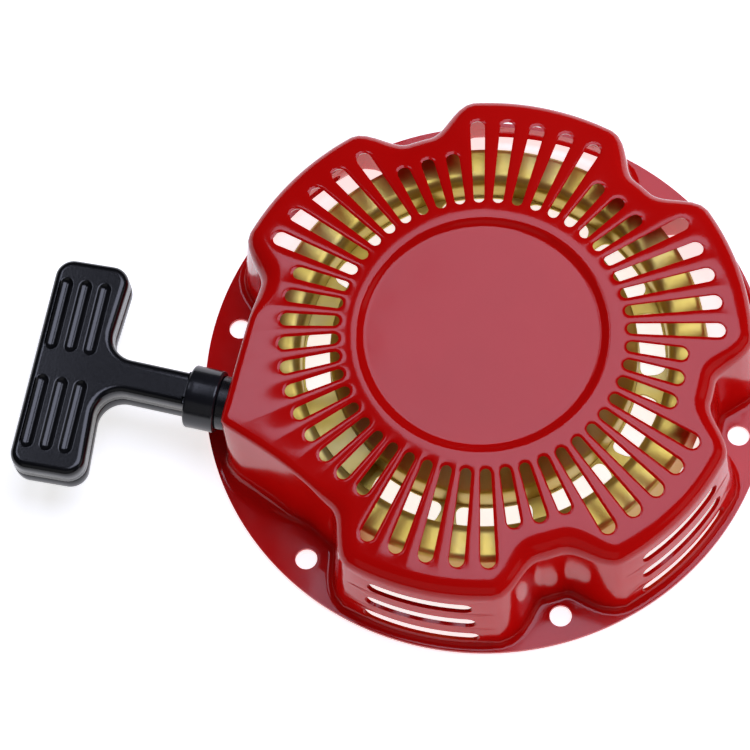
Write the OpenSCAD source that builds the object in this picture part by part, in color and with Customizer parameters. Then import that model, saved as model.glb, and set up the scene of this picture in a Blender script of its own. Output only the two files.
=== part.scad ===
/* [Cover] */
// Outside diameter of the mounting flange
flange_d = 183; // [181:1:186]
// Thickness of the pressed sheet
sheet_t = 1.3; // [1:0.1:1.6]
// Number of mounting holes
bolt_count = 6; // [6]
// Diameter of the circle that the mounting holes lie on
bolt_pcd = 166; // [165:0.5:167]
// Diameter of a mounting hole
bolt_hole_d = 7; // [6:0.1:8]
// Height of the cone's inner edge above the flange's back face
crown_h = 42.5; // [41:0.5:45]
// Slope of the cone in degrees
cone_slope = 8; // [6:0.5:9]
// Radius of the wall's outline at a lobe
lobe_r = 84.8; // [84:0.1:84.8]
// Depth of a notch between two lobes
notch_depth = 10.8; // [9:0.2:11]
// How far the wall leans out from top to bottom
wall_draft = 3.4; // [2:0.1:3.4]
// Radius of the rounded edge between cone and wall
edge_r = 5.5; // [4:0.5:6]
// Radius of the flare between wall and flange
flare_r = 2.7; // [2:0.1:2.7]

/* [Centre recess] */
// Radius of the recess at its rim
recess_rim_r = 41; // [40:0.5:42]
// Radius of the recess at its floor
recess_floor_r = 37.5; // [36:0.5:38]
// Height of the recess floor's outer face
recess_h = 40.4; // [40:0.1:41]

/* [Vents] */
// Number of radial slots
slot_count = 48; // [48]
// Radius of the slots' inner ends
slot_in_r = 45.1; // [44.5:0.1:46]
// Radius of the long slots' outer ends
slot_long_r = 75.9; // [74:0.1:76]
// Radius of the short slots' outer ends
slot_short_r = 64.3; // [62:0.1:65]
// Width of a slot at its inner end
slot_in_w = 3.4; // [3:0.1:3.8]
// Width of a slot per millimetre of radius
slot_taper = 0.044; // [0.03:0.001:0.05]

/* [Rope] */
// Diameter of the starter rope
rope_d = 4.5; // [4:0.1:5]
// Height of the rope above the flange's back face
rope_h = 22.5; // [22:0.1:23]
// Distance of the rope's run from the reel's axis
rope_y = 34; // [33:0.5:35]
// Distance of the flat rope wall from the reel's axis
rope_wall = 74; // [73.5:0.1:74.5]

/* [Grip] */
// Length of the grip's cross bar
bar_len = 73; // [68:1:76]
// Width of the cross bar at its middle
bar_w = 22.6; // [20:0.2:24]
// Extra width at each end of the cross bar
bar_flare = 2.2; // [0:0.1:3]
// How far the cross bar sits out of square with the stem, in degrees
bar_yaw = 3; // [0:0.5:4]
// Thickness of the grip
grip_t = 13.6; // [13:0.2:15]
// Width of the stem
stem_w = 11.8; // [11:0.2:12]
// Distance of the bar's middle from the reel's axis
bar_x = 128; // [126:0.5:130]
// Outside diameter of the collar that clamps the two halves
collar_d = 20.2; // [20:0.1:21]

/* [Reel and ratchet] */
// Radius of the reel's rope flanges
reel_r = 41; // [40:0.5:42]
// Radius of the rope groove's floor
groove_r = 22.9; // [22.5:0.1:23]
// Radius of the post that the reel turns on
post_r = 8; // [7.5:0.1:8]
// Running clearance round the post
post_fit = 0.05; // [0.02:0.01:0.08]
// Distance of each pawl's pivot from the reel's axis
pawl_pivot = 22; // [21.5:0.5:22.5]
// Length of a pawl from its pivot to its tip
pawl_len = 19; // [17:0.5:19]
// Angle that a pawl swings out through
pawl_swing = 35; // [25:1:35]
// Angle that the ratchet guide turns to swing the pawls out
guide_turn = 25; // [20:1:25]

/* [Hidden] */

flange_r = flange_d / 2;
round_fn = 64;

// ---------- helpers ----------
function smooth(u) = let (v = min(max(u, 0), 1)) v * v * (3 - 2 * v);
function unit(v) = v / norm(v);

// A sheet ring between two radii
module ring(r_out, r_in, z0, z1) {
    difference() {
        translate([0, 0, z0]) cylinder(r = r_out, h = z1 - z0, $fn = round_fn);
        translate([0, 0, z0 - 1]) cylinder(r = r_in, h = z1 - z0 + 2, $fn = round_fn);
    }
}

// A flat bar with round ends, centred, along X
module round_bar(length, width) {
    square([length - width, width], center = true);
    for (s = [-1, 1]) translate([s * (length - width) / 2, 0]) circle(d = width, $fn = round_fn);
}

// ---------- cover ----------
seg_count = 84;
notch_pitch = 60;
notch_half = 13;
notch_run = 9.5;
// The wall beside the rope runs from the flat face's corner to the next notch
corner_a = 211.3;
dip_a = 239;
dip_r = 72.2;
corner_r = rope_wall / cos(corner_a - 180);
dip_power = 2.2;
corner_blend = 0.8;

function notch_wall(d) = lobe_r - notch_depth * smooth((notch_half - abs(d)) / notch_run);
function flat_wall(a) = rope_wall / cos(a - 180);
function dip_wall(a) = dip_r + (corner_r - dip_r) * pow(max(dip_a - a, 0) / (dip_a - corner_a), dip_power);
function soft_min(p, q) = -corner_blend * ln(exp(-(p - 70) / corner_blend) + exp(-(q - 70) / corner_blend)) + 70;
function outline_r(a) =
    a > 180 && a <= dip_a ? (a < 225 ? soft_min(flat_wall(a), dip_wall(a)) : dip_wall(a)) :
    a > dip_a && a < 253 ? lobe_r - (lobe_r - dip_r) * smooth((dip_a + 12 - a) / notch_run) :
    notch_wall(a - notch_pitch * round(a / notch_pitch));
function outline(a) = outline_r(a) * [cos(a), sin(a)];
function outward(a) = let (t = outline(a + 0.6) - outline(a - 0.6)) unit([t[1], -t[0]]);
// The rope wall stands upright, so its draft is left out
function draft(a) = wall_draft * (1 - smooth((a - 177) / 6) * smooth((216 - a) / 7));
function cone_z(r) = crown_h - (r - recess_rim_r) * tan(cone_slope);

function at_offset(a, d, z) = let (p = outline(a) + d * outward(a)) [p[0], p[1], z];
function edge_z(a) = cone_z(norm(outline(a) - edge_r * outward(a)));
// Rounded edge: b runs from 0 at the cone to 90 at the wall, t is the depth under the outer skin
function edge_pt(a, b, t) =
    at_offset(a, -edge_r + (edge_r - t) * sin(b), edge_z(a) - edge_r + (edge_r - t) * cos(b));
// Flare: b runs from 0 at the wall to 90 at the flange
function flare_pt(a, b, t) =
    at_offset(a, draft(a) + flare_r - (flare_r + t) * cos(b), sheet_t + flare_r - (flare_r + t) * sin(b));
function circle_pt(a, r, z) = [r * cos(a), r * sin(a), z];

function section(a) = [
    circle_pt(a, recess_floor_r, recess_h),
    circle_pt(a, recess_rim_r, cone_z(recess_rim_r)),
    for (b = [0, 30, 60, 90]) edge_pt(a, b, 0),
    for (b = [0, 45, 90]) flare_pt(a, b, 0),
    circle_pt(a, flange_r, sheet_t),
    circle_pt(a, flange_r, 0),
    for (b = [90, 45, 0]) flare_pt(a, b, sheet_t),
    for (b = [90, 60, 30, 0]) edge_pt(a, b, sheet_t),
    circle_pt(a, recess_rim_r + 0.6, cone_z(recess_rim_r) - sheet_t),
    circle_pt(a, recess_floor_r + 0.6, recess_h - sheet_t)];

// Sections crowd together near the notches
function crowd(v) = 0.55 * v + 0.45 * pow(v, 3);
function seg_angle(i) = let (n = seg_count / 6, k = round(i / n))
    notch_pitch * k + notch_pitch / 2 * crowd(2 * (i - n * k) / n);

module cover_shell() {
    rows = [for (i = [0:seg_count - 1]) section(seg_angle(i))];
    k = len(rows[0]);
    polyhedron(
        points = [for (row = rows) each row],
        faces = [
            [for (i = [seg_count - 1:-1:0]) i * k],
            [for (i = [0:seg_count - 1]) i * k + k - 1],
            for (i = [0:seg_count - 1]) let (n = (i + 1) % seg_count) for (j = [0:k - 2]) each [
                [i * k + j, n * k + j, n * k + j + 1],
                [i * k + j, n * k + j + 1, i * k + j + 1]]],
        convexity = 8);
}

// One radial slot, wider towards its outer end
module slot_2d(r_out) {
    w_out = slot_in_w + slot_taper * (r_out - slot_in_r);
    a = slot_in_r + slot_in_w / 2;
    b = r_out - w_out / 2;
    polygon([[a, -slot_in_w / 2], [b, -w_out / 2], [b, w_out / 2], [a, slot_in_w / 2]]);
    translate([a, 0]) circle(d = slot_in_w, $fn = round_fn);
    translate([b, 0]) circle(d = w_out, $fn = round_fn);
}

// Slots near a notch, and all those above the rope, are short
function slot_end(a) =
    let (d = abs(a - notch_pitch * round(a / notch_pitch)))
    d < 8 || (a > 175 && a < 245) ? slot_short_r : slot_long_r;

side_rows = [26.8, 16.6, 5.5];
side_heights = [3.9, 3.8, 4.8];
side_lengths = [33.4, 35.6, 38];
side_lobes = [30, 90, 150, 270, 330];

module cover() color([0.72, 0.03, 0.04]) difference() {
    cover_shell();
    for (i = [0:slot_count - 1]) let (a = i * 360 / slot_count)
        rotate(a) translate([0, 0, 30]) linear_extrude(20) slot_2d(slot_end(a));
    for (i = [0:bolt_count - 1]) rotate(i * 360 / bolt_count) translate([bolt_pcd / 2, 0, -1])
        cylinder(d = bolt_hole_d, h = sheet_t + 2, $fn = round_fn);
    for (a = side_lobes, i = [0:2]) rotate(a) translate([78, 0, side_rows[i]]) rotate([90, 0, 90])
        linear_extrude(16) round_bar(side_lengths[i], side_heights[i]);
    along_rope(-rope_wall - 6) cylinder(r = eyelet_body_r + 0.1, h = 12, $fn = round_fn);
}

// ---------- inner bracket ----------
bracket_t = 1;
hub_top = recess_h - sheet_t;
hub_r = 48.8;
hub_plate_r = 40;
shoulder_z = 29.5;
floor_z = 17.3;
channel_in_r = 58.2;
channel_bend = 3.8;
channel_top = 29;
channel_out_r = 70.6;
channel_out_bend = 2.2;
rim_z = 16;
// First and last angle of each window in the floor
windows = [[8, 31], [37, 61], [66, 90], [95, 119], [124, 148], [153, 163], [181, 207],
    [241, 268], [274, 300], [306, 330], [337, 362]];
// The roofed part that the rope runs under
roof_a = [207, 241];
roof_z = 26.5;
rope_gate_r = 3.6;
window_lip = 0.8;

module bracket_profile() {
    translate([0, hub_top - bracket_t]) square([hub_plate_r, bracket_t]);
    polygon([[hub_plate_r - 0.5, hub_top - bracket_t], [hub_plate_r, hub_top], [hub_r, shoulder_z],
        [hub_r, floor_z], [hub_r - bracket_t, floor_z], [hub_r - bracket_t, shoulder_z - 0.5]]);
    translate([hub_r - bracket_t, floor_z]) square([channel_in_r - hub_r + 2 * bracket_t, bracket_t]);
    translate([channel_in_r, floor_z]) square([bracket_t, channel_top - channel_bend - floor_z]);
    translate([channel_in_r + channel_bend, channel_top - channel_bend]) difference() {
        circle(channel_bend, $fn = round_fn);
        circle(channel_bend - bracket_t, $fn = round_fn);
        translate([0, -5]) square([5, 10]);
        translate([-5, -5]) square([10, 5]);
    }
    translate([channel_in_r + channel_bend, channel_top - bracket_t])
        square([channel_out_r - channel_out_bend - channel_in_r - channel_bend, bracket_t]);
    translate([channel_out_r - channel_out_bend, channel_top - channel_out_bend]) difference() {
        circle(channel_out_bend, $fn = round_fn);
        circle(channel_out_bend - bracket_t, $fn = round_fn);
        translate([-5, -5]) square([5, 10]);
        translate([-5, -5]) square([10, 5]);
    }
    translate([channel_out_r - bracket_t, rim_z]) square([bracket_t, channel_top - channel_out_bend - rim_z]);
}

// A window between the two walls, leaving a lip along each
module window(a0, a1) {
    rotate(a0) translate([0, 0, floor_z - 1]) rotate_extrude(angle = a1 - a0, $fn = round_fn)
        translate([hub_r + window_lip, 0])
            square([channel_in_r - hub_r - 2 * window_lip, bracket_t + 2]);
}

module inner_bracket() color([0.72, 0.62, 0.22]) difference() {
    union() {
        rotate_extrude($fn = round_fn) bracket_profile();
        rotate(roof_a[0]) rotate_extrude(angle = roof_a[1] - roof_a[0], $fn = round_fn)
            translate([hub_r - 0.5, roof_z]) square([channel_in_r + 1.05 - hub_r + 0.5, bracket_t]);
    }
    for (w = windows) window(w[0], w[1]);
    translate([0, 0, hub_top - 2]) cylinder(r = post_neck_r, h = 4, $fn = round_fn);
    along_rope(-80) cylinder(r = rope_gate_r, h = 54, $fn = round_fn);
}

// ---------- post, screw and washer ----------
post_neck_r = 6;
post_foot = 7.2;
post_flange_r = 12;
post_flange_t = 1.6;
post_top = hub_top - bracket_t;
thread_r = 2.6;
thread_depth = 14;
shank_r = 3;
washer_r = 11;
washer_t = 1.5;
washer_z = post_foot - washer_t;
head_h = 4;
head_r = 5.2;
head_flange_r = 7;

module centre_post() color([0.75, 0.75, 0.78]) difference() {
    union() {
        translate([0, 0, post_foot]) cylinder(r = post_r, h = post_top - post_foot, $fn = round_fn);
        translate([0, 0, post_top - post_flange_t]) cylinder(r = post_flange_r, h = post_flange_t, $fn = round_fn);
        translate([0, 0, post_top - 0.5]) cylinder(r = post_neck_r, h = bracket_t + 0.5, $fn = round_fn);
    }
    translate([0, 0, post_foot - 1]) cylinder(r = thread_r, h = thread_depth + 2, $fn = round_fn);
    // Slot that holds the spring's inner end
    translate([3.5, -0.6, spring_z - 0.4]) cube([post_flange_r, 1.2, spring_h + 0.8]);
}

module thrust_washer() color([0.78, 0.78, 0.8]) ring(washer_r, shank_r + 0.2, washer_z, washer_z + washer_t);

module centre_screw() color([0.72, 0.66, 0.35]) {
    translate([0, 0, washer_z - head_h]) cylinder(r = head_r, h = head_h - 0.5, $fn = 6);
    translate([0, 0, washer_z - 1]) cylinder(r = head_flange_r, h = 1, $fn = round_fn);
    translate([0, 0, washer_z - 0.5]) cylinder(r = shank_r, h = washer_t + 0.5, $fn = round_fn);
    translate([0, 0, post_foot - 0.5]) cylinder(r = thread_r - 0.02, h = thread_depth, $fn = round_fn);
}

// ---------- reel ----------
web_t = 2.2;
groove_half = 4.75;
groove_z0 = rope_h - groove_half;
groove_z1 = rope_h + groove_half;
reel_bottom = groove_z0 - web_t;
reel_deck = groove_z1 + web_t;
spring_z = reel_deck + 0.3;
spring_h = 6.2;
spring_wall_r = 38.5;
spring_wall_t = 2;
spring_wall_top = spring_z + spring_h + 0.3;
boss_r = 12;
boss_z = 10;
pin_r = 3.2;
pin_z = 9.9;
knot_d = 7;
knot_seat_r = 16.5;
knot_a = 200;
knot_z = 20.2;
vent_count = 6;
vent_r = 4;
vent_circle = 32;

module reel() color([0.88, 0.88, 0.84]) difference() {
    union() {
        translate([0, 0, reel_bottom]) cylinder(r = reel_r, h = web_t, $fn = round_fn);
        translate([0, 0, groove_z0 - 0.5]) cylinder(r = groove_r, h = 2 * groove_half + 1, $fn = round_fn);
        translate([0, 0, groove_z1]) cylinder(r = reel_r, h = web_t, $fn = round_fn);
        ring(spring_wall_r + spring_wall_t, spring_wall_r, reel_deck - 0.5, spring_wall_top);
        translate([0, 0, boss_z]) cylinder(r = boss_r, h = reel_bottom - boss_z + 0.5, $fn = round_fn);
        for (s = [0, 180]) rotate(s) translate([pawl_pivot, 0, pin_z])
            cylinder(r = pin_r, h = reel_bottom - pin_z + 0.5, $fn = round_fn);
    }
    translate([0, 0, boss_z - 1]) cylinder(r = post_r + post_fit, h = 40, $fn = round_fn);
    // Pocket for the rope's knot, and the hole from it into the groove
    rotate(knot_a) translate([knot_seat_r, 0, reel_bottom - 1])
        cylinder(r = knot_d / 2 + 0.3, h = knot_z + knot_d / 2 + 1.3 - reel_bottom, $fn = round_fn);
    rotate(knot_a) translate([knot_seat_r, 0, knot_z]) rotate([0, 90, 0])
        cylinder(r = rope_d / 2 + 0.2, h = 12, $fn = round_fn);
    // Openings in the lower flange
    for (i = [0:vent_count - 1]) rotate(i * 360 / vent_count + 30) translate([vent_circle, 0, reel_bottom - 1])
        cylinder(r = vent_r, h = web_t + 2, $fn = round_fn);
}

// ---------- recoil spring ----------
spring_band = 0.7;
spring_turns = 7;
spring_steps = 18;
spring_in_r = 12.8;
spring_out_r = 37.6;
function spring_pt(u, side) = let (a = u * 360 * spring_turns)
    (spring_in_r + (spring_out_r - spring_in_r) * u + side * spring_band / 2) * [cos(a), sin(a)];

module recoil_spring() color([0.35, 0.37, 0.4]) {
    n = spring_turns * spring_steps;
    translate([0, 0, spring_z]) linear_extrude(spring_h) polygon([
        for (i = [0:n]) spring_pt(i / n, -1),
        for (i = [n:-1:0]) spring_pt(i / n, 1)]);
    // Inner end, held in the post's slot
    translate([5, -spring_band / 2, spring_z]) cube([spring_in_r - 5, spring_band, spring_h]);
}

// ---------- rope ----------
coil_out_r = rope_y + rope_d / 2;
lead_x0 = 18.6;
knot_x = bar_x + 0.4;
grip_knot_r = 4.6;
lead_x1 = knot_x - grip_knot_r;

// Places a cylinder along the rope's run, starting at x
module along_rope(x) {
    translate([x, -rope_y, rope_h]) rotate([0, 90, 0]) children();
}

// Turns of rope in the groove
module rope_on_reel() color([0.12, 0.12, 0.12])
    ring(coil_out_r, groove_r + 0.05, groove_z0 + 0.1, groove_z1 - 0.1);

// Straight run from the reel to the grip
module rope_lead() color([0.12, 0.12, 0.12])
    along_rope(-lead_x1) cylinder(d = rope_d, h = lead_x1 - lead_x0, $fn = round_fn);

module rope_knot_reel() color([0.12, 0.12, 0.12]) rotate(knot_a) translate([knot_seat_r, 0, knot_z]) {
    sphere(d = knot_d, $fn = round_fn);
    rotate([0, 90, 0]) cylinder(d = rope_d, h = groove_r - knot_seat_r, $fn = round_fn);
}

module rope_knot_grip() color([0.12, 0.12, 0.12])
    translate([-knot_x, -rope_y, rope_h]) sphere(r = grip_knot_r, $fn = round_fn);

// ---------- eyelet ----------
eyelet_body_r = 6.35;
eyelet_flange_r = 8.6;
eyelet_lip_r = 7.2;
eyelet_bore_r = 2.9;
eyelet_front = 3.6;
eyelet_gap = 0.15;
eyelet_back = 1.4;
mouth_r = 1.4;

module rope_eyelet() color([0.16, 0.16, 0.17]) along_rope(-rope_wall) difference() {
    union() {
        translate([0, 0, -eyelet_front]) cylinder(r = eyelet_flange_r, h = eyelet_front - eyelet_gap, $fn = round_fn);
        translate([0, 0, -0.5]) cylinder(r = eyelet_body_r, h = sheet_t + 1, $fn = round_fn);
        translate([0, 0, sheet_t + eyelet_gap]) cylinder(r = eyelet_lip_r, h = eyelet_back - eyelet_gap, $fn = round_fn);
    }
    translate([0, 0, -eyelet_front - 1]) cylinder(r = eyelet_bore_r, h = 12, $fn = round_fn);
    // Rounded mouths, so the rope doesn't chafe
    for (end = [-eyelet_front, sheet_t + eyelet_back]) translate([0, 0, end]) rotate_extrude($fn = round_fn)
        translate([eyelet_bore_r - 0.01, 0]) difference() {
            translate([0, -mouth_r]) square([mouth_r, 2 * mouth_r]);
            for (s = [-1, 1]) translate([mouth_r, s * mouth_r]) circle(mouth_r, $fn = round_fn);
        }
}

// ---------- grip ----------
bar_corner_r = 6;
stem_fillet = 8;
collar_x0 = 77.9;
collar_len = 10.1;
collar_x1 = collar_x0 + collar_len;
spigot_r = 9;
half_t = grip_t / 2;
rib_len = 25;
rib_w = 4;
rib_pitch = 6;
rib_depth = 0.8;

// One arm of the cross bar, wider at its end
module bar_arm(s) hull() {
    for (side = [-1, 1]) translate([side == 1 ? bar_w / 2 + bar_flare - bar_corner_r : -bar_w / 2 + bar_corner_r,
        s * (bar_len / 2 - bar_corner_r)]) circle(bar_corner_r, $fn = 32);
    translate([-bar_w / 2, -0.5]) square([bar_w, 1]);
}

module in_bar() {
    translate([-bar_x, -rope_y - 1]) rotate(bar_yaw) children();
}

module grip_plan() {
    in_bar() for (s = [-1, 1]) bar_arm(s);
    stem_x = bar_x - bar_w / 2;
    translate([-stem_x - 4, -rope_y - stem_w / 2]) square([stem_x + 4 - collar_x1 + 1, stem_w]);
    for (s = [-1, 1]) translate([-stem_x - 0.5, -rope_y + s * stem_w / 2]) difference() {
        translate([0, s == 1 ? 0 : -stem_fillet]) square(stem_fillet);
        translate([stem_fillet, s * stem_fillet]) circle(stem_fillet, $fn = round_fn);
    }
}

// Half of the grip: s is 1 above the rope and -1 below it
module grip_half(s) difference() {
    union() {
        translate([0, 0, s == 1 ? rope_h : rope_h - half_t]) linear_extrude(half_t) grip_plan();
        intersection() {
            along_rope(-collar_x1 - 0.5) cylinder(r = spigot_r, h = collar_len - 0.8, $fn = round_fn);
            translate([-collar_x1 - 5, -rope_y - 12, s == 1 ? rope_h : rope_h - 12]) cube([20, 24, 12]);
        }
    }
    along_rope(-bar_x) cylinder(r = rope_d / 2 + 0.35, h = 60, $fn = round_fn);
    along_rope(-knot_x - grip_knot_r - 0.4) cylinder(r = grip_knot_r + 0.4, h = 2 * grip_knot_r + 2.2, $fn = round_fn);
    // Finger grooves at both ends of the bar
    translate([0, 0, rope_h + s * (half_t - rib_depth / 2)]) in_bar()
        for (e = [-1, 1], i = [-1:1]) translate([i * rib_pitch + 0.4, e * (bar_len / 2 - 7 - rib_len / 2)])
            rotate(90) linear_extrude(rib_depth + 0.02, center = true) round_bar(rib_len, rib_w);
}

module grip_front_half() color([0.05, 0.05, 0.06]) grip_half(1);
module grip_back_half() color([0.07, 0.07, 0.08]) grip_half(-1);

module grip_collar() color([0.04, 0.04, 0.05]) along_rope(-collar_x1) difference() {
    cylinder(d = collar_d, h = collar_len, $fn = round_fn);
    translate([0, 0, -1]) cylinder(r = spigot_r, h = collar_len - 0.2, $fn = round_fn);
    cylinder(r = rope_d / 2 + 0.6, h = collar_len + 1, $fn = round_fn);
}

module knot_washer() color([0.75, 0.75, 0.78]) along_rope(-knot_x + grip_knot_r + 0.05) difference() {
    cylinder(r = grip_knot_r + 0.3, h = 1.2, $fn = round_fn);
    translate([0, 0, -1]) cylinder(r = rope_d / 2 + 0.1, h = 4, $fn = round_fn);
}

// ---------- pawls and guide ----------
pawl_t = 4.2;
pawl_z = 11;
pawl_rest = -95;
pawl_fit = 0.06;
pawl_boss_r = 5.2;
cam_arm = 9;
cam_r = 1.5;
cam_z = 8.4;
guide_r = 31;
guide_z = 8.2;
guide_t = 1.5;
guide_bore_r = post_r + 0.25;
cam_gap = 0.4;
cam_steps = 6;
wire = 0.8;

module pawl() translate([pawl_pivot, 0, pawl_z]) rotate(pawl_rest) difference() {
    union() {
        cylinder(r = pawl_boss_r, h = pawl_t, $fn = round_fn);
        linear_extrude(pawl_t) polygon([[0, -4.6], [pawl_len - 2, -2.6], [pawl_len, -0.6], [pawl_len, 2.6], [0, 4.6]]);
        translate([cam_arm, 0, cam_z - pawl_z]) cylinder(r = cam_r, h = pawl_t, $fn = round_fn);
    }
    translate([0, 0, -1]) cylinder(r = pin_r + pawl_fit, h = pawl_t + 2, $fn = round_fn);
}

module pawl_a() color([0.55, 0.56, 0.6]) pawl();
module pawl_b() color([0.6, 0.6, 0.64]) rotate(180) pawl();

// Return spring: a turn of wire round the pivot and a leg along the pawl
module pawl_spring() translate([pawl_pivot, 0, pawl_z - 1]) {
    ring(4.1 + wire / 2, 4.1 - wire / 2, 0, wire);
    rotate(pawl_rest) translate([0, 3.8, 0]) cube([cam_arm + 2, wire, wire]);
}

module pawl_spring_a() color([0.8, 0.8, 0.82]) pawl_spring();
module pawl_spring_b() color([0.8, 0.8, 0.82]) rotate(180) pawl_spring();

// Where a pawl's cam pin lies in the guide as both turn, u from 0 to 1
function cam_at(u) = let (
    a = pawl_rest + pawl_swing * u,
    p = [pawl_pivot + cam_arm * cos(a), cam_arm * sin(a)],
    g = guide_turn * u)
    [p[0] * cos(g) + p[1] * sin(g), p[1] * cos(g) - p[0] * sin(g)];
function cam_side(u) = let (t = unit(cam_at(u + 0.02) - cam_at(u - 0.02))) (cam_r + cam_gap) * [t[1], -t[0]];

module cam_slot() {
    polygon([
        for (i = [0:cam_steps]) cam_at(i / cam_steps) + cam_side(i / cam_steps),
        for (i = [cam_steps:-1:0]) cam_at(i / cam_steps) - cam_side(i / cam_steps)]);
    for (u = [0, 1]) translate(cam_at(u)) circle(cam_r + cam_gap, $fn = round_fn);
}

module ratchet_guide() color([0.74, 0.66, 0.3]) translate([0, 0, guide_z]) difference() {
    cylinder(r = guide_r, h = guide_t, $fn = round_fn);
    translate([0, 0, -1]) cylinder(r = guide_bore_r, h = guide_t + 2, $fn = round_fn);
    for (s = [0, 180]) rotate(s) translate([0, 0, -1]) linear_extrude(guide_t + 2) cam_slot();
}

// Wire ring that holds the guide back as the reel turns
module friction_spring() color([0.8, 0.8, 0.82]) translate([0, 0, post_foot + 0.5])
    rotate_extrude($fn = round_fn) translate([9.6, 0]) circle(d = wire, $fn = 24);

cover();
inner_bracket();
centre_post();
rope_eyelet();
reel();
recoil_spring();
rope_on_reel();
rope_lead();
rope_knot_reel();
rope_knot_grip();
knot_washer();
grip_front_half();
grip_back_half();
grip_collar();
pawl_a();
pawl_b();
pawl_spring_a();
pawl_spring_b();
ratchet_guide();
friction_spring();
thrust_washer();
centre_screw();
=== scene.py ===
"""Recoil starter: a vented sheet-metal cover with a pull grip. Lengths are in millimetres until place()."""

import math
from math import cos, radians, sin

import bmesh
import bpy
from mathutils import Matrix, Vector
from mathutils.geometry import tessellate_polygon


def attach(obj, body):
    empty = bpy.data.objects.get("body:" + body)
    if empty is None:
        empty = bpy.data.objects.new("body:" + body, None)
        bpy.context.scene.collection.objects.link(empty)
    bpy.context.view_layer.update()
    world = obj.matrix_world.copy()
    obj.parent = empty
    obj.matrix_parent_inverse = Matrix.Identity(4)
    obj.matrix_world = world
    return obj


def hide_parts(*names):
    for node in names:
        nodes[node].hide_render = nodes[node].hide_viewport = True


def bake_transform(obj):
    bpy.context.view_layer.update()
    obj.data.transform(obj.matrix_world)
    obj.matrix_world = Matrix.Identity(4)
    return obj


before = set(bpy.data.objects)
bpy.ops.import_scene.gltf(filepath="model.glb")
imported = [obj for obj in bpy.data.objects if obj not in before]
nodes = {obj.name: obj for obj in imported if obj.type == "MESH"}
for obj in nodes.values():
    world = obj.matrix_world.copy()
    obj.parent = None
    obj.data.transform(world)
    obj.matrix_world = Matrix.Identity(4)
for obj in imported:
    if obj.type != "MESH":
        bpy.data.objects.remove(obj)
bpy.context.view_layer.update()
MM = 0.001
TURN = 360


# ---------- camera ----------
def add_camera():
    data = bpy.data.cameras.new("camera")
    data.lens = 159.9
    data.clip_start = 0.05
    camera = bpy.data.objects.new("camera", data)
    camera.location = (0.1276, -0.3820, 1.0021)
    camera.rotation_euler = (radians(21.986), radians(3.695), radians(14.42))
    bpy.context.scene.collection.objects.link(camera)
    bpy.context.scene.camera = camera


add_camera()
bpy.context.scene.view_settings.view_transform = "Standard"


# ---------- mesh helpers ----------
def place(bm, name, material, smooth_angle=None):
    """Turns a bmesh in millimetres into an object in metres"""
    bmesh.ops.remove_doubles(bm, verts=bm.verts, dist=0.004)
    bmesh.ops.recalc_face_normals(bm, faces=bm.faces)
    bmesh.ops.scale(bm, vec=(MM, MM, MM), verts=bm.verts)
    mesh = bpy.data.meshes.new(name)
    bm.to_mesh(mesh)
    bm.free()
    mesh.materials.append(material)
    mesh.shade_smooth()
    obj = bpy.data.objects.new(name, mesh)
    bpy.context.scene.collection.objects.link(obj)
    if smooth_angle is not None:
        mesh.set_sharp_from_angle(angle=radians(smooth_angle))
    return obj


def apply_modifiers(obj):
    graph = bpy.context.evaluated_depsgraph_get()
    mesh = bpy.data.meshes.new_from_object(obj.evaluated_get(graph))
    obj.modifiers.clear()
    obj.data = mesh


def thicken(obj, thickness, lip, segments, lip_angle):
    """Gives a skin its sheet thickness inward and rounds its cut edges"""
    sheet = obj.modifiers.new("sheet", "SOLIDIFY")
    sheet.thickness = thickness * MM
    sheet.offset = -1
    sheet.use_even_offset = True
    lips = obj.modifiers.new("lips", "BEVEL")
    lips.width = lip * MM
    lips.segments = segments
    lips.limit_method = "ANGLE"
    lips.angle_limit = radians(lip_angle)
    lips.harden_normals = True
    apply_modifiers(obj)


def skin_between(bm, loop_a, loop_b):
    """Joins two closed loops of as many points with quads"""
    count = len(loop_a)
    for i in range(count):
        n = (i + 1) % count
        bm.faces.new((loop_a[i], loop_a[n], loop_b[n], loop_b[i]))


def add_loop(bm, points):
    return [bm.verts.new(p) for p in points]


def fill_flat(bm, loops):
    """Fills the flat face between an outer loop and the loops inside it"""
    flat = [v for loop in loops for v in loop]
    for tri in tessellate_polygon([[v.co for v in loop] for loop in loops]):
        bm.faces.new([flat[i] for i in tri])


def skin_along(bm, loops):
    for a, b in zip(loops, loops[1:]):
        skin_between(bm, a, b)


def cap_ends(bm, loops):
    bm.faces.new(loops[0])
    bm.faces.new(loops[-1])


def lathe(bm, profile, segments, ring_at):
    """Turns a profile of (radius, height) points; ring_at(r, h, angle) places a point"""
    turns = [TURN * i / segments for i in range(segments)]
    rings = [add_loop(bm, [ring_at(r, h, t) for t in turns]) for r, h in profile]
    skin_along(bm, rings)
    return rings


def arc(cx, cy, r, a0, a1, steps):
    turns = [radians(a0 + (a1 - a0) * i / steps) for i in range(steps + 1)]
    return [(cx + r * cos(t), cy + r * sin(t)) for t in turns]


# ---------- materials ----------
def new_material(name):
    m = bpy.data.materials.new(name)
    m.use_nodes = True
    return m, m.node_tree.nodes, m.node_tree.links, m.node_tree.nodes["Principled BSDF"]


def noise_source(tree_nodes, links, scale, detail=4, stretch=(1, 1, 1)):
    coords = tree_nodes.new("ShaderNodeTexCoord")
    mapping = tree_nodes.new("ShaderNodeMapping")
    mapping.inputs["Scale"].default_value = stretch
    noise = tree_nodes.new("ShaderNodeTexNoise")
    noise.inputs["Scale"].default_value = scale
    noise.inputs["Detail"].default_value = detail
    links.new(coords.outputs["Object"], mapping.inputs["Vector"])
    links.new(mapping.outputs["Vector"], noise.inputs["Vector"])
    return noise


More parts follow.
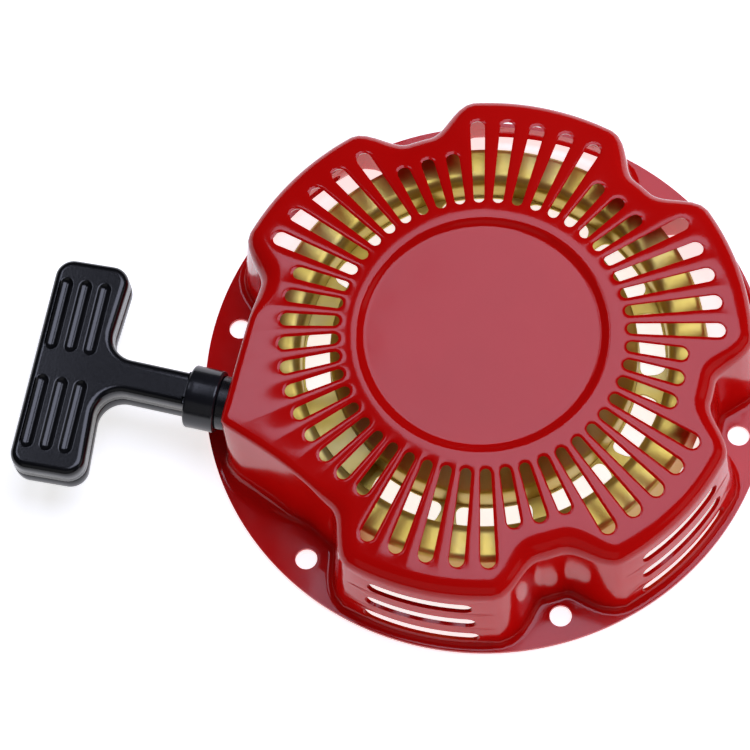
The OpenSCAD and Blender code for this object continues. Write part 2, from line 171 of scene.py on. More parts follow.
def ramp(tree_nodes, links, source, stops, target):
    node = tree_nodes.new("ShaderNodeValToRGB")
    node.color_ramp.elements[0].position = stops[0][0]
    node.color_ramp.elements[0].color = (*stops[0][1], 1)
    node.color_ramp.elements[1].position = stops[-1][0]
    node.color_ramp.elements[1].color = (*stops[-1][1], 1)
    for position, colour in stops[1:-1]:
        node.color_ramp.elements.new(position).color = (*colour, 1)
    links.new(source.outputs["Fac"], node.inputs["Fac"])
    links.new(node.outputs["Color"], target)


def value_range(tree_nodes, links, source, low, high, target):
    node = tree_nodes.new("ShaderNodeMapRange")
    node.inputs["To Min"].default_value = low
    node.inputs["To Max"].default_value = high
    links.new(source.outputs["Fac"], node.inputs["Value"])
    links.new(node.outputs["Result"], target)


def bump(tree_nodes, links, source, shader, strength, distance, under=None):
    node = tree_nodes.new("ShaderNodeBump")
    if under is not None:
        links.new(under.outputs["Normal"], node.inputs["Normal"])
    node.inputs["Strength"].default_value = strength
    node.inputs["Distance"].default_value = distance
    links.new(source.outputs["Fac"], node.inputs["Height"])
    links.new(node.outputs["Normal"], shader.inputs["Normal"])
    return node


def finish_material(name, colours, rough, metal=0.0, gloss=0.5, grain=400, patch=30, relief=0.1,
                    stretch=(1, 1, 1), wave=0):
    """Colour drifts slowly through colours, and roughness and a fine relief follow the grain"""
    m, tree_nodes, links, shader = new_material(name)
    shader.inputs["Metallic"].default_value = metal
    shader.inputs["Specular IOR Level"].default_value = gloss
    slow = noise_source(tree_nodes, links, patch)
    stops = [(0.3 + 0.4 * i / (len(colours) - 1), c) for i, c in enumerate(colours)]
    ramp(tree_nodes, links, slow, stops, shader.inputs["Base Color"])
    fine = noise_source(tree_nodes, links, grain, 6, stretch)
    value_range(tree_nodes, links, fine, rough[0], rough[1], shader.inputs["Roughness"])
    under = None
    if wave:
        under = bump(tree_nodes, links, noise_source(tree_nodes, links, 28, 2), shader, 1, wave)
    bump(tree_nodes, links, fine, shader, relief, 0.0002, under)
    return m


red_paint = finish_material(
    "red_paint", [(0.60, 0.0015, 0.0012), (0.64, 0.0025, 0.002), (0.67, 0.004, 0.003)], (0.09, 0.14),
    gloss=0.3, grain=350, patch=18, relief=0.04, wave=0.0004)
yellow_zinc = finish_material(
    "yellow_zinc", [(0.56, 0.42, 0.06), (0.64, 0.50, 0.10), (0.60, 0.51, 0.19)], (0.28, 0.44),
    metal=0.7, grain=900, patch=45, relief=0.15)
steel = finish_material(
    "steel", [(0.50, 0.51, 0.53), (0.62, 0.62, 0.63)], (0.22, 0.38),
    metal=1.0, grain=500, patch=60, relief=0.2, stretch=(1, 1, 8))
spring_steel = finish_material(
    "spring_steel", [(0.20, 0.21, 0.24), (0.32, 0.33, 0.35)], (0.25, 0.4),
    metal=1.0, grain=700, patch=80, relief=0.1, stretch=(1, 1, 6))
black_plastic = finish_material(
    "black_plastic", [(0.002, 0.002, 0.003), (0.006, 0.006, 0.007)], (0.13, 0.24),
    gloss=0.5, grain=1400, patch=60, relief=0.08)
collar_plastic = finish_material(
    "collar_plastic", [(0.007, 0.007, 0.009), (0.012, 0.012, 0.014)], (0.16, 0.24),
    grain=900, patch=60, relief=0.05)
eyelet_plastic = finish_material(
    "eyelet_plastic", [(0.006, 0.006, 0.007), (0.01, 0.01, 0.012)], (0.2, 0.32),
    grain=1200, patch=80, relief=0.1)
nylon = finish_material(
    "nylon", [(0.60, 0.59, 0.53), (0.70, 0.69, 0.64)], (0.38, 0.52),
    grain=800, patch=40, relief=0.1)
rope_fibre = finish_material(
    "rope_fibre", [(0.012, 0.012, 0.013), (0.03, 0.03, 0.03)], (0.7, 0.9),
    grain=2500, patch=500, relief=0.6)


# ---------- cover ----------
SHEET = 1.3
# The cone that carries the slots falls from CROWN at RIM_R; its own faces begin at CONE_START
CROWN = 42.5
RIM_R = 41
CONE_SLOPE = 8
SLOPE = math.tan(radians(CONE_SLOPE))
CONE_START = 42.6
# The wall's outline. A notch is NOTCH_HALF degrees to a side, and its flank runs over NOTCH_RUN degrees.
FLANGE_R = 91.5
LOBE_R = 84.8
NOTCH_DEPTH = 10.8
NOTCH_HALF = 14.3
NOTCH_RUN = 11.8
NOTCH_STEP = 60
DIP_R = 72.2
DIP_END_A = 239
WALL_X = 74
CORNER_A = 211.3
CORNER_R = WALL_X / cos(radians(CORNER_A - 180))
# The wall's section, from its top edge to the flare at its foot
EDGE_R = 5.5
TIGHT_EDGE_R = 2.6
SLOTS_END_R = 66.7
WALL_LEAN = 3.4
FLARE_R = 2.7
FLARE_WIDE_R = 6
FLARE_Z = SHEET + FLARE_R
# Slots, their lips and the columns of faces that meet them
SECTORS = 48
PITCH = TURN / SECTORS
COLUMNS = 8
SHORT_SLOT_R = 64.3
LONG_SLOT_R = 75.9
LIP = 0.9
# How far out from a slot's edge each ring of its lip is, and how far it has sunk
SLOT_LIPS = [(0, 0.32), (0.35, 0.16), (0.7, 0.05), (1.05, 0)]
HOLE_LIP = 0.6


def smooth(u):
    v = min(max(u, 0), 1)
    return v * v * (3 - 2 * v)


def ease(u):
    return 0.5 - 0.5 * cos(math.pi * min(max(u, 0), 1))


def soft_min(p, q):
    """The smaller of two radii, with the corner between them blended"""
    near, blend = 70, 0.8
    return near - blend * math.log(math.exp(-(p - near) / blend) + math.exp(-(q - near) / blend))


def from_notch(a):
    return abs(a - NOTCH_STEP * round(a / NOTCH_STEP))


def outline_r(a):
    """Radius of the wall: six lobes and notches, and a flat face beside the rope"""
    a %= TURN
    dip = DIP_R + (CORNER_R - DIP_R) * (max(DIP_END_A - a, 0) / (DIP_END_A - CORNER_A)) ** 2.2
    if 180 < a < 225:
        return soft_min(WALL_X / cos(radians(a - 180)), dip)
    if 225 <= a <= DIP_END_A:
        return dip
    if DIP_END_A < a < 255:
        return LOBE_R - (LOBE_R - DIP_R) * ease((NOTCH_HALF + 240 - a) / NOTCH_RUN)
    return LOBE_R - NOTCH_DEPTH * ease((NOTCH_HALF - from_notch(a)) / NOTCH_RUN)


def outline(a):
    return Vector((cos(radians(a)), sin(radians(a)))) * outline_r(a)


def outward(a):
    """Outward direction over a wide stretch of the outline, so that neighbouring columns never cross"""
    t = outline(a + 3.5) - outline(a - 3.5)
    return Vector((t.y, -t.x)).normalized()


def edge_radius(a):
    """Soft round the lobes, softest in the notches and tight along the wall beside the rope"""
    soft = min(EDGE_R + 1.5 * smooth((13 - from_notch(a)) / 9), outline_r(a) - SLOTS_END_R)
    beside = smooth((a - 178) / 10) * smooth((244 - a) / 10)
    return soft + (TIGHT_EDGE_R - soft) * beside


def draft(a):
    """How far the wall's foot stands out from its top"""
    beside_rope = smooth((a - 177) / 6) * smooth((216 - a) / 7)
    in_notch = smooth((12 - from_notch(a)) / 8)
    return (WALL_LEAN - 1.6 * in_notch) * (1 - beside_rope)


def flare_radius(a):
    """Wide where the flange is widest, below the rope"""
    below_rope = smooth((a - 208) / 10) * smooth((233 - a) / 10)
    return FLARE_R + (FLARE_WIDE_R - FLARE_R) * below_rope


def cone_z(r):
    return CROWN - (r - RIM_R) * SLOPE


def skin_pt(a, s):
    """The outer skin outside the cone: s runs 0-1 round the edge, 1-2 down the wall, 2-3 round the flare
    and 3-4 out to the flange's rim"""
    a %= TURN
    p = outline(a)
    n = outward(a)
    edge_r = edge_radius(a)
    z_edge = cone_z((p - edge_r * n).length) - edge_r
    if s <= 1:
        # The edge starts along the cone's slope and ends upright
        b = radians(CONE_SLOPE + (90 - CONE_SLOPE) * s)
        start = radians(CONE_SLOPE)
        across = (sin(b) - sin(start)) / (1 - sin(start))
        down = (cos(start) - cos(b)) / cos(start)
        q = p + n * (edge_r * (across - 1))
        return Vector((q.x, q.y, z_edge + edge_r * (1 - down)))
    foot = p + n * draft(a)
    flare_r = flare_radius(a)
    flare_z = SHEET + flare_r
    if s <= 2:
        q = p.lerp(foot, s - 1)
        return Vector((q.x, q.y, z_edge + (flare_z - z_edge) * (s - 1)))
    b = radians(90 * min(s - 2, 1))
    q = foot + n * (flare_r * (1 - cos(b)))
    if s > 3:
        q = q.lerp(Vector((cos(radians(a)), sin(radians(a)))) * FLANGE_R, s - 3)
    return Vector((q.x, q.y, flare_z - flare_r * sin(b)))


def wall_top(a):
    return skin_pt(a, 1).z


def s_at(a, z):
    """The s at which a lobe's wall or flare is z high"""
    if z >= FLARE_Z:
        top = wall_top(a)
        return 1 + (top - z) / (top - FLARE_Z)
    return 2 + math.degrees(math.asin((FLARE_Z - z) / FLARE_R)) / 90


def column_angles():
    """Outline angles whose cone edge lies at even polar angles, so that columns meet the slots' sectors"""
    steps = 3600
    seen = []
    for i in range(-40, steps + 40):
        a = i * TURN / steps
        p = skin_pt(a, 0)
        polar = math.degrees(math.atan2(p.y, p.x))
        polar += TURN * round((a - polar) / TURN)
        seen.append((polar, a))
    columns = []
    k = 0
    for j in range(SECTORS * COLUMNS):
        want = (j / COLUMNS - 0.5) * PITCH
        while seen[k + 1][0] < want:
            k += 1
        (p0, a0), (p1, a1) = seen[k], seen[k + 1]
        columns.append(a0 + (a1 - a0) * (want - p0) / (p1 - p0))
    return columns


def slot_loop(r_out, grow, side_steps):
    """A radial slot along X, walked from its inner end"""
    r_in, w_in, taper = 45.1, 3.4, 0.044
    w_out = w_in + taper * (r_out - r_in)
    a, b = r_in + w_in / 2, r_out - w_out / 2
    inner = arc(a, 0, w_in / 2 + grow, -90, -270, COLUMNS)
    outer = arc(b, 0, w_out / 2 + grow, 90, -90, COLUMNS)
    side = [(a + (b - a) * i / side_steps, w_in / 2 + grow + (w_out - w_in) / 2 * i / side_steps)
            for i in range(1, side_steps)]
    return inner + side + outer + [(x, -y) for x, y in reversed(side)]


def bar_loop(length, height, grow, steps_long, steps_end):
    """A flat bar with round ends, walked anticlockwise from the left end of its lower side"""
    r = height / 2
    x = length / 2 - r
    lower = [(-x + 2 * x * i / steps_long, -r - grow) for i in range(steps_long)]
    right = arc(x, 0, r + grow, -90, 90, steps_end)[:-1]
    return lower + right + [(-p, -q) for p, q in lower] + [(-p, -q) for p, q in right]


def ring_patch(bm, loops, surface):
    """Skins loops, each round the one before, on a surface"""
    skin_along(bm, [add_loop(bm, [surface(*p) for p in loop]) for loop in loops])


def box_loop(cols, rows):
    """Walks round a patch of the wall grid, in step with bar_loop"""
    lower = [(a, rows[-1]) for a in cols[:-1]]
    right = [(cols[-1], s) for s in reversed(rows[1:])]
    upper = [(a, rows[0]) for a in reversed(cols[1:])]
    left = [(cols[0], s) for s in rows[:-1]]
    return lower + right + upper + left


def spread(start, end, steps):
    return [start + (end - start) * i / steps for i in range(steps)]


def grid(bm, cols, rows):
    """Plain quads over a patch of the outer skin"""
    for a0, a1 in zip(cols, cols[1:]):
        for s0, s1 in zip(rows, rows[1:]):
            bm.faces.new([bm.verts.new(skin_pt(a, s)) for a, s in ((a0, s0), (a0, s1), (a1, s1), (a1, s0))])


def round_hole(bm, outer, centre, radius, to_plane, surface):
    """A hole whose loops follow the directions of the patch's own corner points"""
    loops = []
    for r in (radius, radius + HOLE_LIP):
        loop = []
        for p in outer:
            d = to_plane(p) - centre
            loop.append(surface(centre + d.normalized() * r))
        loops.append(add_loop(bm, loop))
    loops.append(add_loop(bm, [skin_pt(*p) for p in outer]))
    skin_along(bm, loops)


# Middle, height and length of the three slots in a lobe's wall, and the s between which each one lies
SIDE_ROWS = [(26.0, 5.6, 33.9), (15.8, 5.6, 36.1), (5.9, 5.2, 38.3)]
ROW_STEPS = 6
ROW_BREAKS = [1, 1.359, 1.745, 2.6]
WALL_ROWS = [s for a, b in zip(ROW_BREAKS, ROW_BREAKS[1:]) for s in spread(a, b, ROW_STEPS)] + [2.6]
EDGE_ROWS = [i / 7 for i in range(8)]
FLARE_ROWS = [2.6, 2.8, 3]
FLANGE_ROWS = [3 + i / 5 for i in range(6)]
SIDE_LOBES = [30, 90, 150, 270, 330]
SIDE_SPAN = 15
BOLT_R = 83
BOLT_HOLE_R = 3.5
BOLT_REACH = 6.3
EYELET_Y = -34
EYELET_Z = 22.5
EYELET_HOLE_R = 6.45


def add_cone(bm, cols):
    side_steps = 12

    def surface(x, y, drop=0):
        return Vector((x, y, cone_z(math.hypot(x, y)) - drop))

    for k in range(SECTORS):
        centre = k * PITCH
        short = from_notch(centre) < 8 or 175 < centre < 245
        edge = [skin_pt(cols[(k * COLUMNS + i) % len(cols)], 0).xy for i in range(COLUMNS + 1)]
        turn = [radians(centre + (i / COLUMNS - 0.5) * PITCH) for i in range(COLUMNS + 1)]
        rim = [Vector((cos(t), sin(t))) * CONE_START for t in turn]
        side_hi = [rim[-1].lerp(edge[-1], i / side_steps) for i in range(1, side_steps)]
        side_lo = [edge[0].lerp(rim[0], i / side_steps) for i in range(1, side_steps)]
        sector = rim + side_hi + list(reversed(edge)) + side_lo
        c, s = cos(radians(centre)), sin(radians(centre))
        r_out = SHORT_SLOT_R if short else LONG_SLOT_R
        slots = [[(x * c - y * s, x * s + y * c, drop) for x, y in slot_loop(r_out, g, side_steps)]
                 for g, drop in SLOT_LIPS]
        ring_patch(bm, slots + [[tuple(p) for p in sector]], surface)


def add_recess(bm):
    """The sunken disc and the step up to the cone"""
    floor_z, floor_r, rim_r, rim_z = 40.7, 36.7, 40.1, 42.34
    steps = 9
    step_up = [(floor_r + (rim_r - floor_r) * i / steps,
                floor_z + (rim_z - floor_z) * smooth(i / steps)) for i in range(steps + 1)]
    profile = [(6, floor_z), (20, floor_z), (34, floor_z), (36, floor_z)] + step_up
    profile += [(CONE_START, cone_z(CONE_START))]

    def ring_at(r, h, a):
        t = radians(a - PITCH / 2)
        return (r * cos(t), r * sin(t), h)

    rings = lathe(bm, profile, SECTORS * COLUMNS, ring_at)
    bm.faces.new(rings[0])


def foot_is_near(a, centre):
    """Whether the flange meets the wall within a hole's reach of it, measured square to its radius"""
    foot = skin_pt(a, 3).xy
    return abs(foot.cross(centre.normalized())) < BOLT_REACH


def add_wall(bm, cols):
    count = len(cols)
    closed = cols + [cols[0] + TURN]
    grid(bm, closed, EDGE_ROWS)
    grid(bm, closed, FLARE_ROWS)

    def column_at(a):
        return round((a / PITCH + 0.5) * COLUMNS)

    def span(j0, j1):
        return [cols[j % count] + TURN * (j // count) for j in range(j0, j1 + 1)]

    taken = []
    for lobe in SIDE_LOBES:
        j0, j1 = column_at(lobe - SIDE_SPAN), column_at(lobe + SIDE_SPAN)
        taken.append((j0, j1, 0, 3))
        for i, (z, height, length) in enumerate(SIDE_ROWS):
            rows = spread(ROW_BREAKS[i], ROW_BREAKS[i + 1], ROW_STEPS) + [ROW_BREAKS[i + 1]]
            here = LOBE_R + WALL_LEAN * (s_at(lobe, z) - 1)
            loops = [[(lobe + math.degrees(x / here), s_at(lobe, z + y))
                      for x, y in bar_loop(length, height, g, j1 - j0, ROW_STEPS)] for g in (0, LIP)]
            ring_patch(bm, loops + [box_loop(span(j0, j1), rows)], skin_pt)
    # The eyelet's hole, in the flat face beside the rope
    j0 = next(j for j in range(count) if cols[j] > 196.6)
    j1 = next(j for j in range(count) if cols[j] > 210.2)
    taken.append((j0, j1, 0, 2))
    outer = box_loop(span(j0, j1), WALL_ROWS[:2 * ROW_STEPS + 1])

    def on_face(p):
        q = skin_pt(*p)
        return Vector((q.y, q.z))

    round_hole(bm, outer, Vector((EYELET_Y, EYELET_Z)), EYELET_HOLE_R, on_face,
               lambda q: Vector((-WALL_X, q.x, q.y)))
    for j in range(count):
        for band in range(3):
            if not any(j0 <= j < j1 and b0 <= band < b1 for j0, j1, b0, b1 in taken):
                grid(bm, span(j, j + 1), WALL_ROWS[band * ROW_STEPS:(band + 1) * ROW_STEPS + 1])
    # The flange, with a hole at each notch
    sides = []
    for k in range(6):
        notch = radians(NOTCH_STEP * k)
        centre = Vector((cos(notch), sin(notch))) * BOLT_R
        j0 = j1 = column_at(NOTCH_STEP * k)
        while foot_is_near(span(j0, j0)[0], centre):
            j0 -= 1
        while foot_is_near(span(j1, j1)[0], centre):
            j1 += 1
        sides.append((j0, j1))
        round_hole(bm, box_loop(span(j0, j1), FLANGE_ROWS), centre, BOLT_HOLE_R,
                   lambda p: skin_pt(*p).xy, lambda q: Vector((q.x, q.y, SHEET)))
    for (_, start), (end, _) in zip(sides, sides[1:] + [(sides[0][0] + count, 0)]):
        grid(bm, span(start, end), FLANGE_ROWS)


def make_cover():
    bm = bmesh.new()
    cols = column_angles()
    add_recess(bm)
    add_cone(bm, cols)
    add_wall(bm, cols)
    obj = place(bm, "cover_shell", red_paint)
    thicken(obj, SHEET, 0.5, 3, 50)
    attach(obj, "case")
    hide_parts("cover")


make_cover()


# ---------- inner bracket ----------
HUB_R = 48.8
CHANNEL_R = 58.2
FLOOR_Z = 18.3
CHANNEL_TOP = 29
RIM_R_OUT = 70.6
BRACKET_T = 1.0
WINDOW_LIP = 0.7
WINDOW_CORNER = 3
# First and last angle of each window in the bracket's floor
WINDOWS = [(8, 31), (37, 61), (66, 90), (95, 119), (124, 148), (153, 163), (181, 205), (243, 268),
           (274, 300), (306, 330), (337, 360)]
ROOF = (207, 241)


def polar(r, a, z):
    return Vector((r * cos(radians(a)), r * sin(radians(a)), z))


def window_loop(box, middle_a, half_w, half_h, corner, inset):
    """Shrinks a box of (angle, radius) points to a rectangle with rounded corners"""
    mid_r = (HUB_R + CHANNEL_R) / 2
    reach_a = max(abs(a - middle_a) for a, r in box)
    reach_r = (CHANNEL_R - HUB_R) / 2
    w, h, c = half_w - inset, half_h - inset, corner - inset
    loop = []
    for a, r in box:
        x, y = (a - middle_a) / reach_a * w, (r - mid_r) / reach_r * h
        dx, dy = abs(x) - (w - c), abs(y) - (h - c)
        if dx > 0 and dy > 0:
            k = c / math.hypot(dx, dy)
            x = math.copysign(w - c + dx * k, x)
            y = math.copysign(h - c + dy * k, y)
        loop.append((middle_a + math.degrees(x / (mid_r + y)), mid_r + y))
    return loop


def add_bracket_walls(bm):
    """The hub, and the channel with its outer wall, both open where the rope runs through"""
    hub = [(6.1, 39.1), (20, 39.1), (38.6, 39.1)] + arc(38.6, 36.6, 2.5, 90, 48, 4)
    hub += [(47.6, 30.9), (48.5, 29.9), (HUB_R, 28.6), (HUB_R, 26.2), (HUB_R, 18.9), (HUB_R, FLOOR_Z)]
    channel = [(CHANNEL_R, FLOOR_Z), (CHANNEL_R, 18.9), (CHANNEL_R, 25.2)]
    channel += arc(62, 25.2, 3.8, 180, 90, 7)[1:] + [(65, CHANNEL_TOP)] + arc(68.4, 26.8, 2.2, 90, 0, 5)
    channel += [(RIM_R_OUT, 25.9), (RIM_R_OUT + 0.5, 19.1), (RIM_R_OUT + 1.2, 16)]
    # The wall, the top of the opening, and its first and last angle
    gates = [(hub, 26.2, 219, 232), (channel, 25.2, 211, 220), (channel, 25.9, 205, 213)]
    for profile in (hub, channel):
        for (r0, z0), (r1, z1) in zip(profile, profile[1:]):
            for a in range(TURN):
                if any(wall is profile and start <= a < end and max(z0, z1) == top
                       for wall, top, start, end in gates):
                    continue
                bm.faces.new([bm.verts.new(polar(r, t, z)) for r, t, z in
                              ((r0, a, z0), (r1, a, z1), (r1, a + 1, z1), (r0, a + 1, z0))])


def add_bracket_floor(bm):
    steps = 10
    rows = [HUB_R + (CHANNEL_R - HUB_R) * i / steps for i in range(steps + 1)]
    half_h = (CHANNEL_R - HUB_R) / 2 - WINDOW_LIP
    covered = set()
    for a0, a1 in WINDOWS:
        cols = list(range(a0 - 1, a1 + 2))
        covered.update(a % TURN for a in cols[:-1])
        box = box_loop(cols, rows[::-1])
        half_w = radians(a1 - a0) / 2 * (HUB_R + CHANNEL_R) / 2
        loops = [window_loop(box, (a0 + a1) / 2, half_w, half_h, WINDOW_CORNER, inset)
                 for inset in (0, -0.3)]
        ring_patch(bm, loops + [box], lambda a, r: polar(r, a, FLOOR_Z))
    for a in range(TURN):
        if a not in covered:
            for r0, r1 in zip(rows, rows[1:]):
                bm.faces.new([bm.verts.new(polar(r, t, FLOOR_Z)) for r, t in
                              ((r0, a), (r1, a), (r1, a + 1), (r0, a + 1))])


def make_bracket():
    bm = bmesh.new()
    add_bracket_walls(bm)
    add_bracket_floor(bm)
    obj = place(bm, "bracket_sheet", yellow_zinc)
    if obj.data.polygons[0].normal.z < 0:
        obj.data.flip_normals()
    thicken(obj, BRACKET_T, 0.18, 2, 40)
    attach(obj, "case")
    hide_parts("inner_bracket")


def make_rope_roof():
    """The plate over the rope, between the hub and the channel"""
    bm = bmesh.new()
    top = 27.5
    r_in, r_out = HUB_R - 0.2, CHANNEL_R + 0.5
    section = [(r_in, top), (r_out, top), (r_out, top - BRACKET_T), (r_in, top - BRACKET_T)]
    loops = [add_loop(bm, [polar(r, a, z) for r, z in section]) for a in range(ROOF[0], ROOF[1] + 1)]
    skin_along(bm, loops)
    cap_ends(bm, loops)
    obj = place(bm, "rope_roof", yellow_zinc, 40)
    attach(obj, "case")


make_bracket()
make_rope_roof()


# ---------- grip ----------
# Middle of the T's bar, its lean in degrees, the height of the parting line and half the grip's thickness
GRIP_MID = Vector((-128, -35))
BAR_YAW = 3
PART_Z = 22.5
HALF_T = 6.8


def fillet(points):
    """Rounds each corner (x, y, radius) of a closed outline"""
    out = []
    count = len(points)
    for i, (x, y, r) in enumerate(points):
        p = Vector((x, y))
        to_prev = (Vector(points[i - 1][:2]) - p).normalized()
        to_next = (Vector(points[(i + 1) % count][:2]) - p).normalized()
        half = to_prev.angle(to_next) / 2
        reach = r / math.tan(half)
        centre = p + (to_prev + to_next).normalized() * (r / sin(half))
        start, end = p + to_prev * reach, p + to_next * reach
        v0, v1 = start - centre, end - centre
        sweep = v0.angle_signed(v1)
        steps = 10
        for k in range(steps + 1):
            out.append(centre + Matrix.Rotation(-sweep * k / steps, 2) @ v0)
    return out


def densify(points, step):
    out = []
    for p, q in zip(points, points[1:] + points[:1]):
        n = max(1, round((q - p).length / step))
        out += [p.lerp(q, i / n) for i in range(n)]
    return out


def bar_to_plan(x, y):
    return GRIP_MID + Matrix.Rotation(radians(BAR_YAW), 2) @ Vector((x, y))


def grip_outline():
    outer_x, mid_x, end_x, end_y = -11.3, 11.3, 13.5, 36.5
    stem_half, stem_y, stem_end = 5.9, -34, -86
    corner, inner_fillet = 6, 8
    corners = []
    for s in (-1, 1):
        p, q = bar_to_plan(end_x, s * end_y), bar_to_plan(mid_x, 0)
        y = stem_y + s * stem_half
        t = (y - q.y) / (p.y - q.y)
        meet = q.lerp(p, t)
        o = bar_to_plan(outer_x, s * end_y)
        corners.append([(stem_end, y, 0.4), (meet.x, y, inner_fillet),
                        (p.x, p.y, corner), (o.x, o.y, corner)])
    return densify(fillet(corners[0] + corners[1][::-1]), 1.5)


def inward_normals(points):
    out = []
    for i in range(len(points)):
        t = points[(i + 1) % len(points)] - points[i - 1]
        out.append(Vector((t.y, -t.x)).normalized())
    area = sum(p.x * q.y - q.x * p.y for p, q in zip(points, points[1:] + points[:1]))
    return [n if area < 0 else -n for n in out]


def make_grip_half(name, node, side):
    """side is 1 for the half above the rope and -1 for the one below"""
    bm = bmesh.new()
    base = grip_outline()
    normals = inward_normals(base)
    top_r = 2.3
    wall = [(0.35, 0.02), (0.0, 0.4), (0.14, HALF_T - top_r)]
    round_over = [(0.14 + top_r * (1 - cos(radians(a))), HALF_T - top_r * (1 - sin(radians(a))))
                  for a in (15, 30, 45, 60, 75, 90)]
    profile = wall + round_over + [(0.14 + top_r + 0.35, HALF_T)]
    loops = [add_loop(bm, [(*(p + n * inset), PART_Z + side * z) for p, n in zip(base, normals)])
             for inset, z in profile]
    skin_along(bm, loops)
    fill_flat(bm, [loops[0]])
    grooves = []
    for end in (-1, 1):
        for i in (-1, 0, 1):
            grooves.append(add_groove(bm, 6.3 * i - 0.2, end * 17, 25, 4.2, side))
    fill_flat(bm, [loops[-1]] + grooves)
    obj = place(bm, name, black_plastic)
    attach(obj, "grip")
    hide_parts(node)


def add_groove(bm, x, y, length, width, side):
    """A finger groove with a round section. Returns its outer loop."""
    section = [(-0.35, 0), (0, 0), (0.12, 0.1), (0.5, 0.45), (1.0, 0.72), (1.5, 0.9), (1.95, 0.95)]
    loops = []
    for inset, drop in section:
        loop = []
        for u, v in bar_loop(length - 2 * inset, width - 2 * inset, 0, 16, 10):
            p = bar_to_plan(x - v, y + u)
            loop.append((p.x, p.y, PART_Z + side * (HALF_T - drop)))
        loops.append(add_loop(bm, loop))
    skin_along(bm, loops)
    bm.faces.new(loops[-1])
    return loops[0]


make_grip_half("grip_top", "grip_front_half", 1)
make_grip_half("grip_bottom", "grip_back_half", -1)


def along_rope(r, x, a):
    return (x, EYELET_Y + r * cos(radians(a)), EYELET_Z + r * sin(radians(a)))


def make_collar():
    bm = bmesh.new()
    left, right, r, bore = -88, -77.9, 10.1, 3.2
    profile = [(6, left + 0.6), (8.9, left + 0.6)]
    profile += [(x, y) for y, x in arc(left + 0.9, r - 0.9, 0.9, 180, 90, 5)]
    profile += [(r - 0.1, left + 2.6), (r - 0.1, right - 0.9)]
    profile += [(x, y) for y, x in arc(right - 0.8, r - 0.9, 0.8, 90, 0, 5)]
    profile += [(bore + 1, right)]
    profile += [(x, y) for y, x in arc(right - 0.9, bore + 0.9, 0.9, 0, -90, 4)]
    profile += [(bore, left + 4), (6, left + 4), (6, left + 0.6)]
    lathe(bm, profile, 96, along_rope)
    obj = place(bm, "collar_ring", collar_plastic, 50)
    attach(obj, "grip")
    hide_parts("grip_collar")


make_collar()


# ---------- rope ----------
ROPE_R = 2.25
BRAID_DEPTH = 0.26
STRANDS = 8
ROPE_SIDES = 24
# Length of rope in which a strand goes once round it
LAY = 18


def braid_r(a, along):
    """Radius of the braided rope at an angle and a distance along it"""
    turn = along / LAY * TURN
    left = abs(sin(radians((a * STRANDS + turn * STRANDS) / 2)))
    right = abs(sin(radians((a * STRANDS - turn * STRANDS) / 2)))
    return ROPE_R - BRAID_DEPTH * (1 - max(left, right))


def unsmooth(w):
    """The u at which the smooth step reaches w"""
    return 0.5 - sin(math.asin(1 - 2 * w) / 3)


def make_rope_line():
    """A straight rope, whose rings are packed inside the eyelet and collar and spread as the grip is pulled"""
    inside, pack_start, pack_end, grip_end = -18.6, -72, -87, -123.8
    travel = 900
    rings = 560
    stations = []
    length = 0
    for i in range(37):
        x = inside + (pack_start - inside) * i / 37
        stations.append((x, inside - x))
    base = inside - pack_start
    for i in range(rings + 1):
        w = i / rings
        u = unsmooth(w)
        x = pack_start + (pack_end - pack_start) * u
        stations.append((x, base + (pack_start - x) + travel * w))
    length = stations[-1][1]
    for i in range(1, 25):
        x = pack_end + (grip_end - pack_end) * i / 24
        stations.append((x, length + pack_end - x))
    bm = bmesh.new()
    loops = [add_loop(bm, [along_rope(braid_r(TURN * k / ROPE_SIDES, s), x, TURN * k / ROPE_SIDES)
                           for k in range(ROPE_SIDES)]) for x, s in stations]
    skin_along(bm, loops)
    cap_ends(bm, loops)
    obj = place(bm, "rope_line", rope_fibre)
    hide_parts("rope_lead")
    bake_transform(obj)


def make_rope_turns():
    """Six turns in three layers of two, wound one after the other"""
    steps = 60
    seats = [(25.25, -2.3), (25.25, 2.3), (29.6, 2.3), (29.6, -2.3), (33.95, -2.3), (33.95, 2.3)]
    bm = bmesh.new()
    loops = []
    along = 0
    for i in range(steps * len(seats) + 1):
        k = min(i // steps, len(seats) - 1)
        f = i / steps - k
        n = min(k + 1, len(seats) - 1)
        w = smooth((f - 0.86) / 0.14)
        r = seats[k][0] + (seats[n][0] - seats[k][0]) * w
        z = EYELET_Z + seats[k][1] + (seats[n][1] - seats[k][1]) * w
        t = radians(-90 - TURN * i / steps)
        along += r * radians(TURN / steps)
        loop = []
        for m in range(ROPE_SIDES):
            b = TURN * m / ROPE_SIDES
            q = braid_r(b, along)
            loop.append(((r + q * cos(radians(b))) * cos(t), (r + q * cos(radians(b))) * sin(t),
                         z + q * sin(radians(b))))
        loops.append(add_loop(bm, loop))
    skin_along(bm, loops)
    cap_ends(bm, loops)
    obj = place(bm, "rope_turns", rope_fibre)
    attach(obj, "reel")
    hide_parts("rope_on_reel")


make_rope_line()
make_rope_turns()


# ---------- CAD nodes that keep their own shape ----------
def dress(material, *names):
    for name in names:
        for slot in nodes[name].material_slots:
            slot.material = material


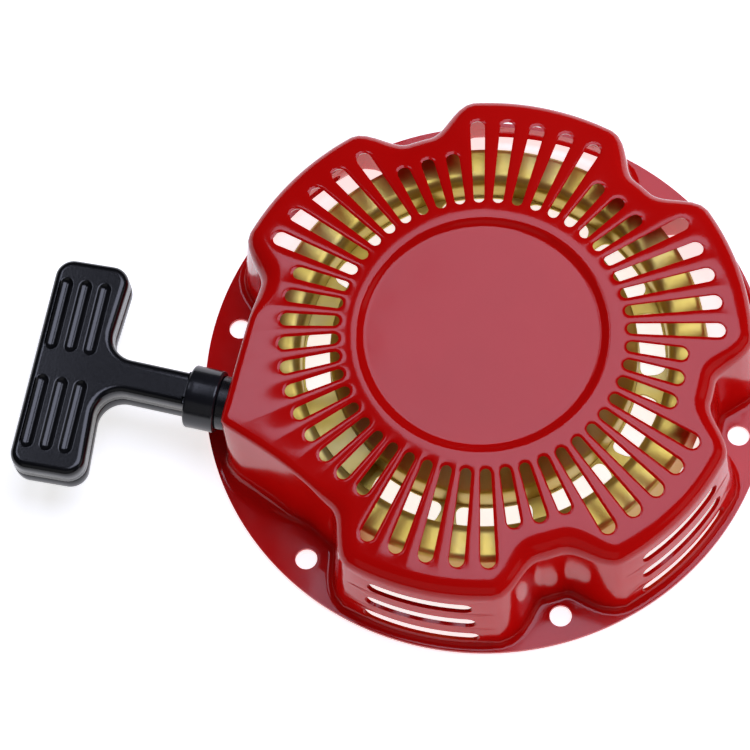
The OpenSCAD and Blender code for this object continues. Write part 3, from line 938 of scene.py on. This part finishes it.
dress(yellow_zinc, "ratchet_guide", "centre_screw")
dress(steel, "centre_post", "thrust_washer", "knot_washer", "pawl_a", "pawl_b")
dress(spring_steel, "recoil_spring", "friction_spring", "pawl_spring_a", "pawl_spring_b")
dress(nylon, "reel")
dress(eyelet_plastic, "rope_eyelet")
dress(rope_fibre, "rope_knot_reel", "rope_knot_grip")


# ---------- floor and lights ----------
def add_floor():
    m, tree_nodes, links, shader = new_material("floor_white")
    shader.inputs["Base Color"].default_value = (0.86, 0.86, 0.86, 1)
    shader.inputs["Roughness"].default_value = 0.8
    shader.inputs["Emission Color"].default_value = (1, 1, 1, 1)
    shader.inputs["Emission Strength"].default_value = 0.75
    bm = bmesh.new()
    half = 3000
    bm.faces.new([bm.verts.new((x * half, y * half, -0.4)) for x, y in ((-1, -1), (1, -1), (1, 1), (-1, 1))])
    floor = place(bm, "floor", m)


def add_softbox(name, location, target, size, radiance, tint=(1, 1, 1), spin=0):
    data = bpy.data.lights.new(name, "AREA")
    data.shape = "RECTANGLE"
    data.size, data.size_y = size
    data.energy = radiance * math.pi * size[0] * size[1]
    data.color = tint
    light = bpy.data.objects.new(name, data)
    light.location = location
    aim = (Vector(location) - Vector(target)).to_track_quat("Z", "Y").to_matrix()
    light.rotation_euler = (aim @ Matrix.Rotation(radians(spin), 3, "Z")).to_euler()
    bpy.context.scene.collection.objects.link(light)


def add_world():
    world = bpy.data.worlds.new("studio")
    world.use_nodes = True
    world.node_tree.nodes["Background"].inputs["Color"].default_value = (1, 1, 1, 1)
    world.node_tree.nodes["Background"].inputs["Strength"].default_value = 0.03
    bpy.context.scene.world = world


add_floor()
add_world()
cool = (0.78, 0.82, 1.05)
add_softbox("overhead", (0.33, 0.39, 1.3), (0.33, 0.39, 0), (1.16, 0.95), 4.1, cool, spin=8)
add_softbox("overhead_left", (-0.71, 0.36, 1.3), (-0.71, 0.36, 0), (0.30, 0.50), 4.6, cool)
add_softbox("front", (0.1, -1.5, 0.9), (0, 0, 0), (2.0, 1.2), 0.2)
add_softbox("right", (1.6, 0.1, 0.7), (0, 0, 0), (1.2, 0.8), 0.4)
